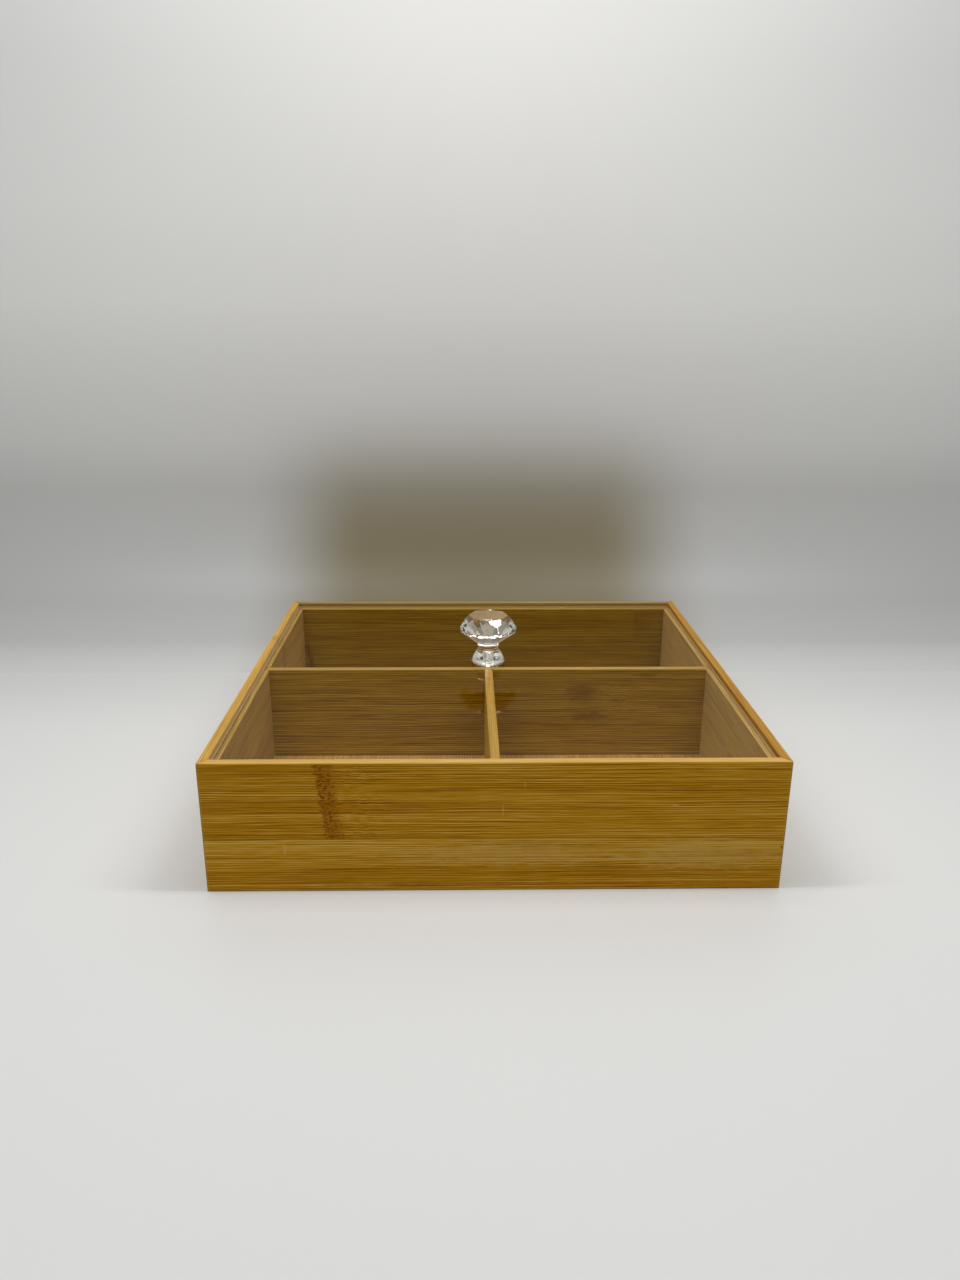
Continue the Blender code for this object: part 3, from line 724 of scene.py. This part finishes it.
# Knob, in millimetres: radii, and heights above its underside
GIRDLE_RADIUS = 15.2
GIRDLE_BOTTOM = 18.2
GIRDLE_TOP = 19.4
TABLE_RADIUS = 10.4
TABLE_HEIGHT = 26.1
STAR_REACH = 2.8
PAVILION_RADIUS = 6.0
PAVILION_BOTTOM = 11.2
MAIN_FACETS = 8
TABLE_TURN = math.radians(-4.0)
FACET_EDGE = 0.10
MERGE_DISTANCE = 0.001
FOOT_OUTLINE = ((0, 11.8), (6.0, 11.8), (5.8, 9.8), (5.5, 8.6), (5.42, 8.1), (5.5, 7.6),
                (5.95, 6.9), (6.6, 6.0), (7.5, 4.4), (8.5, 2.6), (8.92, 1.9), (9.0, 1.4),
                (8.85, 0.75), (8.4, 0.25), (7.8, 0.0), (0, 0.0))
BORE_CLEARANCE = 0.06
BORE_TIP = 0.6
BORE_OVERRUN = 1.0

# Screw, in millimetres
THREAD_RADIUS = 2.0
THREAD_ROOT = 1.62
THREAD_PITCH = 0.7
THREAD_STEPS = 48
THREAD_ROWS_PER_TURN = 10
THREAD_STEEPNESS = 2.4
THREAD_RUNOUT = 0.6
SHANK_SINK = 0.2
LID_TO_HEAD = 0.3
HEAD_ROUNDING = 1.0
HEAD_ROUNDING_STEPS = 8
DRIVE_HALF_SPAN = 2.1
DRIVE_HALF_SLOT = 0.42
DRIVE_DEPTH = 1.3
DRIVE_OVERRUN = 1.1
DRIVE_BOTTOM_SHARES = (0.55, 0.75)
SHARP_ANGLE = math.radians(50)


def facet_tier(builder, count, turn, radius, height, slope_radius, slope_height):
    """Cut a ring of planes: each one holds (radius, height) and (slope_radius, slope_height)."""
    run, rise = slope_radius - radius, slope_height - height
    for index in range(count):
        angle = turn + math.tau * index / count
        outwards = Vector((math.cos(angle), math.sin(angle), 0))
        normal = outwards * abs(rise) - Vector((0, 0, math.copysign(run, rise)))
        slice_away(builder, outwards * radius + Vector((0, 0, height)), normal)


def gem_mesh():
    """The knob's head, cut plane by plane from a sixteen-sided blank, with its arrises eased."""
    sides = 2 * MAIN_FACETS
    half_side = math.pi / sides
    star_turn = TABLE_TURN + math.pi / MAIN_FACETS
    girdle_flat = GIRDLE_RADIUS * math.cos(half_side)
    table_flat = TABLE_RADIUS * math.cos(math.pi / MAIN_FACETS)
    middle = Matrix.Translation((0, 0, (PAVILION_BOTTOM + TABLE_HEIGHT) / 2))
    builder = bmesh.new()
    bmesh.ops.create_cone(builder, cap_ends=True, segments=sides, radius1=GIRDLE_RADIUS,
                          radius2=GIRDLE_RADIUS, depth=TABLE_HEIGHT - PAVILION_BOTTOM,
                          matrix=middle @ Matrix.Rotation(TABLE_TURN, 4, "Z"))
    facet_tier(builder, MAIN_FACETS, TABLE_TURN, TABLE_RADIUS, TABLE_HEIGHT, GIRDLE_RADIUS, GIRDLE_TOP)
    facet_tier(builder, sides, TABLE_TURN + half_side, (GIRDLE_RADIUS + TABLE_RADIUS) / 2,
               (GIRDLE_TOP + TABLE_HEIGHT) / 2, girdle_flat, GIRDLE_TOP)
    facet_tier(builder, MAIN_FACETS, star_turn, table_flat, TABLE_HEIGHT,
               table_flat + STAR_REACH, TABLE_HEIGHT - STAR_REACH)
    for turn in (TABLE_TURN, star_turn):
        facet_tier(builder, MAIN_FACETS, turn, PAVILION_RADIUS, PAVILION_BOTTOM,
                   GIRDLE_RADIUS, GIRDLE_BOTTOM)
    bmesh.ops.remove_doubles(builder, verts=builder.verts, dist=MERGE_DISTANCE)
    bmesh.ops.bevel(builder, geom=builder.edges[:], offset=FACET_EDGE, segments=1, affect="EDGES",
                    clamp_overlap=True)
    return mesh_from(builder, "gem")


def make_knob(material):
    """One clear moulding: faceted head, turned foot and the bore that the screw fills."""
    knob = link("knob_clear", turned_mesh("knob_clear", FOOT_OUTLINE), material)
    join(knob, link("knob_gem", gem_mesh(), material), "UNION")
    top = (SCREW_HIGH.z - KNOB_LOW.z) / MM + BORE_CLEARANCE
    radius = THREAD_RADIUS + BORE_CLEARANCE
    bore = turned_mesh("knob_bore", ((0, top), (radius, top - BORE_TIP), (radius, -BORE_OVERRUN),
                                     (0, -BORE_OVERRUN)))
    join(knob, link("knob_bore", bore, material), "DIFFERENCE")
    set_on_knob_axis(knob, KNOB_LOW.z)
    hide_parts("lid_knob")
    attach(knob, "lid")


def thread_radius(height, share_of_turn, tip):
    """The thread's radius at a height and a share of a turn, running out at its tip."""
    phase = (height / THREAD_PITCH - share_of_turn) % 1.0
    crest = min(1.0, THREAD_STEEPNESS * min(phase, 1 - phase))
    runout = min(1.0, (tip - height) / THREAD_RUNOUT)
    return THREAD_ROOT + (THREAD_RADIUS - THREAD_ROOT) * crest * runout


def shank_mesh(bottom, tip):
    """The threaded shank, from just inside the head to its tip."""
    builder = bmesh.new()
    rows = int((tip - bottom) / THREAD_PITCH * THREAD_ROWS_PER_TURN)
    rings = []
    for row in range(rows + 1):
        height = bottom - SHANK_SINK + (tip - bottom + SHANK_SINK) * row / rows
        ring = []
        for step in range(THREAD_STEPS):
            angle = math.tau * step / THREAD_STEPS
            radius = thread_radius(height, step / THREAD_STEPS, tip)
            ring.append(builder.verts.new((radius * math.cos(angle), radius * math.sin(angle), height)))
        rings.append(ring)
    for lower, upper in zip(rings, rings[1:]):
        for step in range(THREAD_STEPS):
            after = (step + 1) % THREAD_STEPS
            builder.faces.new((lower[step], lower[after], upper[after], upper[step]))
    builder.faces.new(rings[0])
    builder.faces.new(rings[-1])
    for face in builder.faces:
        face.smooth = len(face.verts) == 4
    return mesh_from(builder, "screw_threaded")


def slot_mesh(name, half_x, half_y):
    """A cutter for one slot of the drive, narrower at its bottom."""
    builder = bmesh.new()
    middle = Matrix.Translation((0, 0, (DRIVE_DEPTH - DRIVE_OVERRUN) / 2))
    size = Matrix.Diagonal((2 * half_x, 2 * half_y, DRIVE_DEPTH + DRIVE_OVERRUN, 1))
    bmesh.ops.create_cube(builder, size=1.0, matrix=middle @ size)
    for vertex in builder.verts:
        if vertex.co.z > 0:
            vertex.co.x *= DRIVE_BOTTOM_SHARES[X]
            vertex.co.y *= DRIVE_BOTTOM_SHARES[Y]
    return mesh_from(builder, name)


def make_screw(material):
    """Threaded shank and pan head with a cross recess, head down."""
    head_top = (LID_LOW.z - SCREW_LOW.z) / MM - LID_TO_HEAD
    head_radius = (SCREW_HIGH.x - SCREW_LOW.x) / MM / 2
    screw = link("screw_threaded", shank_mesh(head_top, (SCREW_HIGH.z - SCREW_LOW.z) / MM), material)
    turns = [math.pi / 2 * step / HEAD_ROUNDING_STEPS for step in range(1, HEAD_ROUNDING_STEPS + 1)]
    rounded = [(head_radius - HEAD_ROUNDING * (1 - math.cos(turn)), HEAD_ROUNDING * (1 - math.sin(turn)))
               for turn in turns]
    outline = [(0, head_top), (head_radius, head_top), (head_radius, HEAD_ROUNDING), *rounded, (0, 0)]
    head = link("screw_head", turned_mesh("screw_head", outline), material)
    for name, half_x, half_y in (("drive_x", DRIVE_HALF_SPAN, DRIVE_HALF_SLOT),
                                 ("drive_y", DRIVE_HALF_SLOT, DRIVE_HALF_SPAN)):
        join(head, link(name, slot_mesh(name, half_x, half_y), material), "DIFFERENCE")
    join(screw, head, "UNION")
    set_on_knob_axis(screw, SCREW_LOW.z)
    screw.data.set_sharp_from_angle(angle=SHARP_ANGLE)
    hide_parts("knob_screw")
    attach(screw, "lid")


# Glue lines, in millimetres
GLUE_THICKNESS = 0.26
GLUE_SHRINK = 0.10
GLUE_KNEE = 1.6
GLUE_TOP_CHAMFER = 0.2
GLUE_TOP_DROP = 0.6


def make_glue_lines(material):
    """Dried glue in the four mitre joints, a hair below the wood's surface."""
    wall, rim = WALL_WIDTH - GLUE_SHRINK, RIM_WIDTH - GLUE_SHRINK
    ledge, top = LEDGE_TOP - GLUE_SHRINK, TRAY_TOP - GLUE_SHRINK - GLUE_TOP_CHAMFER
    outline = ((GLUE_SHRINK, GLUE_SHRINK), (wall, GLUE_SHRINK), (wall, GLUE_KNEE), (wall, ledge),
               (rim, ledge), (rim, top), (GLUE_SHRINK + GLUE_TOP_CHAMFER, top),
               (GLUE_SHRINK, TRAY_TOP - GLUE_TOP_DROP))
    corners = {"front_left": (-1, -1), "front_right": (1, -1), "back_left": (-1, 1), "back_right": (1, 1)}
    for name, (side_x, side_y) in corners.items():
        half_thickness = Vector((side_y, -side_x, 0)).normalized() * GLUE_THICKNESS / 2
        builder = bmesh.new()
        sheets = []
        for offset in (half_thickness, -half_thickness):
            places = [Vector((side_x * (TRAY_HALF.x - inwards), side_y * (TRAY_HALF.y - inwards), height))
                      for inwards, height in outline]
            sheets.append([builder.verts.new(place + offset) for place in places])
        front, back = sheets
        builder.faces.new(front)
        builder.faces.new(back)
        for index in range(len(outline)):
            after = (index + 1) % len(outline)
            builder.faces.new((front[index], front[after], back[after], back[index]))
        bmesh.ops.scale(builder, vec=(MM, MM, MM), verts=builder.verts)
        glue = link("glue_" + name, mesh_from(builder, "glue_" + name), material)
        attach(glue, "tray")


# Table and backdrop, both of one pale sheet: colours, painted shade and light, and heights, widths and
# depths in millimetres
SHEET_COLOUR = (0.690, 0.695, 0.690)
SHEET_CLOUD_SHARE = 0.97
SHEET_NOISE = ((1 / 300,) * 3, 3.0, 0.5)
SHEET_ROUGHNESS = 0.42
SHEET_SPECULAR = 0.35
SHEET_TOP = 400.0
# Painted shade low on the backdrop and painted light higher up, as shades by height
SHEET_SHADES = ((0.0, 0.865), (9.0, 0.683), (30.0, 0.635), (57.0, 0.683), (86.0, 0.750),
                (147.0, 0.942), (205.0, 1.024), (247.0, 1.095), (313.0, 1.085), (400.0, 1.000))
# A painted brown-grey shadow and reflection of the tray on the backdrop behind it
TRAY_SHADOW_AND_REFLECTION = (0.44, 0.375, 0.225)
TRAY_SHADOW_AND_REFLECTION_WIDTH = (185.0, 85.0)
TRAY_SHADOW_AND_REFLECTION_HEIGHT = (185.0, 60.0)
# A painted pool of light high in the middle of the backdrop
PAINTED_GLOW = (0.84, 0.84, 0.83)
PAINTED_GLOW_WIDTH = (330.0, 0.0)
PAINTED_GLOW_HEIGHT = (200.0, 430.0)
# Painted shade on the table towards the back
FLOOR_PAINTED_SHADE = (0.90, 0.90, 0.90)
FLOOR_PAINTED_SHADE_DEPTH = (40.0, 150.0)

# Table and backdrop: sizes in metres
FLOOR_REACH = 3.0
FLOOR_STEPS = 96
COVE_START = 0.150
COVE_RADIUS = 0.110
COVE_STEPS = 24
COVE_TOP = 0.95
COVE_HALF_WIDTH = 0.75
COVE_LIFT = 0.0002


def pale_sheet(name):
    """The sheet's material, graph, shader, place and clouding, still without its colour."""
    material, g, shader = new_material(name)
    places = g.position()
    shader.inputs["Roughness"].default_value = SHEET_ROUGHNESS
    shader.inputs["Specular IOR Level"].default_value = SHEET_SPECULAR
    return material, g, shader, places, g.noise(places, *SHEET_NOISE)


def floor_sheet():
    """The table, with painted shade that makes it a little darker towards the back."""
    material, g, shader, (_, y, _), cloudy = pale_sheet("floor_sheet")
    darker = tuple(SHEET_CLOUD_SHARE * channel for channel in SHEET_COLOUR)
    colour = g.shade(g.step(y, *FLOOR_PAINTED_SHADE_DEPTH), g.mix(cloudy, darker, SHEET_COLOUR), FLOOR_PAINTED_SHADE)
    g.feed(shader.inputs["Base Color"], colour)
    return material


def cove_sheet():
    """The backdrop: painted shade low down and painted light higher up, a painted brown-grey shadow and
    reflection of the tray behind it, a painted pool of light high in the middle, and clear when seen from
    behind.
    """
    material, g, shader, (x, _, z), cloudy = pale_sheet("cove_sheet")
    aside = g.size(x)
    # Painted shade and light by height
    stops = [(height / SHEET_TOP, tuple(shade * channel for channel in SHEET_COLOUR))
             for height, shade in SHEET_SHADES]
    clouds = g.mix(cloudy, (SHEET_CLOUD_SHARE,) * 3, WHITE)
    colour = g.mix(1.0, g.ramp(g.times(z, 1 / SHEET_TOP), stops), clouds, "MULTIPLY")
    # Painted shadow and reflection of the tray
    painted_tray_shadow_and_reflection = g.times(g.step(aside, *TRAY_SHADOW_AND_REFLECTION_WIDTH), g.step(z, *TRAY_SHADOW_AND_REFLECTION_HEIGHT))
    colour = g.shade(painted_tray_shadow_and_reflection, colour, TRAY_SHADOW_AND_REFLECTION)
    # Painted pool of light
    painted_glow = g.times(g.step(aside, *PAINTED_GLOW_WIDTH), g.step(z, *PAINTED_GLOW_HEIGHT))
    g.feed(shader.inputs["Base Color"], g.mix(painted_glow, colour, PAINTED_GLOW))
    from_behind = g.node("ShaderNodeNewGeometry").outputs["Backfacing"]
    g.show(g.blend(from_behind, shader.outputs[0], g.clear(WHITE)))
    return material


def make_floor():
    builder = bmesh.new()
    bmesh.ops.create_circle(builder, cap_ends=True, segments=FLOOR_STEPS, radius=FLOOR_REACH)
    link("floor", mesh_from(builder, "floor"), floor_sheet())


def make_cove():
    """A sheet that curves up behind the tray. Seen from behind it isn't there, so no view is blocked."""
    turns = [math.pi / 2 * step / COVE_STEPS for step in range(COVE_STEPS + 1)]
    profile = [(COVE_START + COVE_RADIUS * math.sin(turn), COVE_RADIUS * (1 - math.cos(turn)))
               for turn in turns]
    profile.append((COVE_START + COVE_RADIUS, COVE_TOP))
    builder = bmesh.new()
    rows = [[builder.verts.new((side * COVE_HALF_WIDTH, y, z + COVE_LIFT)) for side in (-1, 1)]
            for y, z in profile]
    for low, high in zip(rows, rows[1:]):
        builder.faces.new((low[0], low[1], high[1], high[0]))
    for face in builder.faces:
        face.smooth = True
    mesh = bpy.data.meshes.new("cove")
    builder.to_mesh(mesh)
    builder.free()
    cove = link("cove", mesh, cove_sheet())
    cove.visible_shadow = False


# World and lamps: places and sizes in metres, powers in watts
WORLD_COLOUR = (1.0, 0.965, 0.87, 1.0)
WORLD_LIGHT = 0.12
WORLD_SEEN = 0.52
STRIP_PLACE = (0.30, -0.13, 0.70)
STRIP_TARGET = (0.05, -0.09, 0.0)
STRIP_SIZE = (0.06, 0.36)
STRIP_POWER = 1.7
CEILING_PLACE = (0.0, -0.11, 1.15)
CEILING_TARGET = (0.0, -0.11, 0.0)
CEILING_SIZE = (1.1, 0.6)
CEILING_POWER = 5.5


def make_world():
    """A dim world that is brighter where the camera, a mirror or glass sees it."""
    world = bpy.data.worlds.new("studio")
    bpy.context.scene.world = world
    world.use_nodes = True
    g = Graph(world.node_tree)
    light = world.node_tree.nodes["Background"]
    light.inputs["Color"].default_value = WORLD_COLOUR
    path = g.node("ShaderNodeLightPath")
    seen = g.larger(path.outputs["Is Camera Ray"],
                    g.larger(path.outputs["Is Glossy Ray"], path.outputs["Is Transmission Ray"]))
    g.feed(light.inputs["Strength"], g.step(seen, 0.0, 1.0, WORLD_LIGHT, WORLD_SEEN))


def area_light(name, place, target, size, power, in_mirrors=True):
    light = bpy.data.lights.new(name, "AREA")
    light.shape = "RECTANGLE"
    light.size, light.size_y = size
    light.energy = power
    lamp = bpy.data.objects.new(name, light)
    lamp.location = place
    lamp.rotation_euler = (Vector(target) - Vector(place)).to_track_quat("-Z", "Y").to_euler()
    lamp.visible_glossy = in_mirrors
    bpy.context.scene.collection.objects.link(lamp)


def make_lights():
    """A strip lamp on each side and a broad, soft ceiling that mirrors don't show."""
    for name, side in (("strip_left", -1), ("strip_right", 1)):
        place = (side * STRIP_PLACE[X], STRIP_PLACE[Y], STRIP_PLACE[Z])
        target = (side * STRIP_TARGET[X], STRIP_TARGET[Y], STRIP_TARGET[Z])
        area_light(name, place, target, STRIP_SIZE, STRIP_POWER)
    area_light("ceiling", CEILING_PLACE, CEILING_TARGET, CEILING_SIZE, CEILING_POWER, in_mirrors=False)


# Camera, from the tray's edges in the photograph: metres, radians and millimetres of lens
CAMERA_PLACE = Vector((-0.01362, -0.47639, 0.23023))
CAMERA_YAW, CAMERA_PITCH, CAMERA_ROLL = 0.01907, 0.31840, -0.00440
CAMERA_LENS = 26.957
CAMERA_SENSOR = 36.0
CAMERA_NEAREST = 0.01


def make_camera():
    forward = Vector((math.sin(CAMERA_YAW) * math.cos(CAMERA_PITCH),
                      math.cos(CAMERA_YAW) * math.cos(CAMERA_PITCH), -math.sin(CAMERA_PITCH)))
    right = Vector((math.cos(CAMERA_YAW), -math.sin(CAMERA_YAW), 0))
    down = forward.cross(right)
    turned_right = right * math.cos(CAMERA_ROLL) + down * math.sin(CAMERA_ROLL)
    turned_down = down * math.cos(CAMERA_ROLL) - right * math.sin(CAMERA_ROLL)
    lens = bpy.data.cameras.new("camera")
    lens.lens = CAMERA_LENS
    lens.sensor_width = CAMERA_SENSOR
    lens.sensor_fit = "AUTO"
    lens.clip_start = CAMERA_NEAREST
    camera = bpy.data.objects.new("camera", lens)
    bpy.context.scene.collection.objects.link(camera)
    axes = Matrix((turned_right, -turned_down, -forward)).transposed()
    camera.matrix_world = Matrix.Translation(CAMERA_PLACE) @ axes.to_4x4()
    bpy.context.scene.camera = camera


# Front wall: two strips, a dark culm node, pale scars and soft stains
FRONT_SEAM = 24.8
FRONT_NODE = (-64.2, -0.11, FRONT_SEAM, 59.5, 1.0, 1.0)
FRONT_BANDS = ((4.5, 11.5, -0.19), (15.6, 0.7, -0.20))
FRONT_STAINS = ((-38.0, 39.5, 15.0, 3.0, PURPLE_BROWN, 0.26), (15.0, 3.0, 80.0, 0.8, RED_BROWN, 0.60),
                (88.0, 17.0, 36.0, 9.0, GREY_TAN, 0.55), (5.0, 17.5, 55.0, 6.5, GREY_TAN, 0.50),
                (-88.4, 19.9, 0.9, 2.4, BAMBOO_PALE, 0.50), (3.1, 38.2, 0.6, 2.6, BAMBOO_PALE, 0.45),
                (74.8, 40.2, 2.2, 0.8, BAMBOO_PALE, 0.50), (12.0, 49.7, 0.7, 2.0, BAMBOO_PALE, 0.35),
                (122.1, 20.0, 1.4, 0.8, NODE_BROWN, 0.80))
# Painted shade on the front wall's inner face and its rim and ledge tops, painted light on its rebate's
# side, and a faint painted sheen on its outer face
dress_bamboo("front_wall", X, Z, seams=(FRONT_SEAM,), tones=(0.16, 0.0), marks=(FRONT_NODE,),
             bands=FRONT_BANDS, stains=FRONT_STAINS, seam_ends=(-97.0, 62.0), seed=11.0,
             rim_shade=(0.83, 0.87, 0.99), outer_tan=0.015)

# Back wall: a culm node at each end
BACK_SEAM = 29.0
BACK_NODES = ((-107.6, -0.21, 15.0, 31.0, 0.4, 0.9), (108.1, -0.10, 31.0, 52.5, 1.5, 0.30))
# Painted shade on the back wall's inner face, rim and ledge tops and rebate's side, and a painted sheen
# on its outer face
dress_bamboo("back_wall", X, Z, seams=(BACK_SEAM,), tones=(0.0, 0.04), marks=BACK_NODES, seed=137.0,
             contrast=1.10, inner_shade=(0.47, 0.51, 0.12), rim_shade=(0.45, 0.56, 0.95),
             ledge_shade=(0.555, 0.62, 0.73), rebate=(BACK_REBATE_PAINTED_SHADE, 0.70))

# Side walls: one culm node each
LEFT_SEAM = 26.5
LEFT_NODE = (38.0, 0.12, LEFT_SEAM, 70.0, 1.0, 0.8)
# Painted shade and a painted reflection on the left wall's inner face, painted shade on its rim and ledge
# tops, painted light on its rebate's side and a painted sheen on its outer face
dress_bamboo("left_wall", Y, Z, seams=(LEFT_SEAM,), tones=(-0.02, 0.04), marks=(LEFT_NODE,), seed=263.0,
             contrast=1.3, inner_shade=(0.70, 0.84, 1.00), inner_tan=0.36, rim_shade=(0.77, 0.77, 0.67),
             ledge_shade=(0.67, 0.74, 0.68), rebate=(REBATE_PAINTED_LIGHT, 0.60))
RIGHT_SEAM = 31.5
RIGHT_NODE = (-52.0, -0.10, -1.0, RIGHT_SEAM, 1.0, 0.8)
# Painted light and a painted reflection on the right wall's inner face, painted shade on its rim and
# ledge tops, painted shadow on its rebate's side and a painted sheen on its outer face
dress_bamboo("right_wall", Y, Z, seams=(RIGHT_SEAM,), tones=(0.03, 0.0), marks=(RIGHT_NODE,), seed=389.0,
             contrast=1.3, inner_shade=(1.04, 1.45, 1.50), inner_tan=0.56, rim_shade=(0.615, 0.55, 0.38),
             ledge_shade=(0.765, 0.85, 1.05), rebate=(REBATE_SHADOW, 0.50))

# Base panel: eight strips that run from front to back
BASE_SEAMS = (-92.0, -61.0, -30.5, 0.5, 31.0, 62.0, 93.0)
BASE_TONES = (0.02, 0.04, 0.0, 0.02, -0.15, -0.10, -0.13, -0.14)
# Painted shade and a painted reflection on the base panel's top
dress_bamboo("base_panel", Y, X, seams=BASE_SEAMS, tones=BASE_TONES, seed=503.0, contrast=1.2,
             inner_shade=(0.77, 0.91, 0.97), inner_tan=0.34)

# Dividers: the long one has fibres that ripple as they do beside a culm node, and stains
DIVIDER_NODE = (61.0, 0.0, 30.0, 47.0, 1.0, 0.0)
DIVIDER_BANDS = ((22.5, 0.6, -0.16), (11.3, 0.6, -0.16))
DIVIDER_STAINS = ((50.5, 41.3, 10.0, 5.5, DEEP_GOLD, 0.70), (54.4, 28.0, 12.0, 3.4, DEEP_GOLD, 0.80),
                  (61.0, 38.0, 7.0, 7.0, BAMBOO_PALE, 0.18), (83.0, 51.2, 6.5, 1.0, DEEP_GOLD, 0.70),
                  (100.6, 32.9, 9.0, 1.1, DEEP_GOLD, 0.60), (-84.0, 37.5, 9.5, 1.0, DEEP_GOLD, 0.55),
                  (-54.3, 28.1, 5.5, 2.2, BAMBOO_PALE, 0.22), (-68.0, 28.2, 9.0, 0.9, DEEP_GOLD, 0.55))
# Painted shade on the dividers' faces, and a painted sheen and painted shade on their tops
dress_bamboo("long_divider", X, Z, marks=(DIVIDER_NODE,), bands=DIVIDER_BANDS, stains=DIVIDER_STAINS,
             seed=641.0, contrast=1.15, inner_shade=(0.74, 0.84, 0.55))
dress_bamboo("short_divider", Y, Z, tones=(0.05,), seed=769.0, contrast=1.15,
             inner_shade=(0.74, 0.85, 0.64), ledge_shade=(0.67, 0.65, 0.55))
make_glue_lines(dried_glue("corner_glue"))

# Lid
dress("lid_panel", clear_sheet("lid_acrylic"))
make_knob(clear_moulding("knob_acrylic"))
make_screw(zinc_steel("zinc_steel"))

# Studio and camera
make_floor()
make_cove()
make_world()
make_lights()
make_camera()
bpy.context.scene.view_settings.view_transform = "Standard"
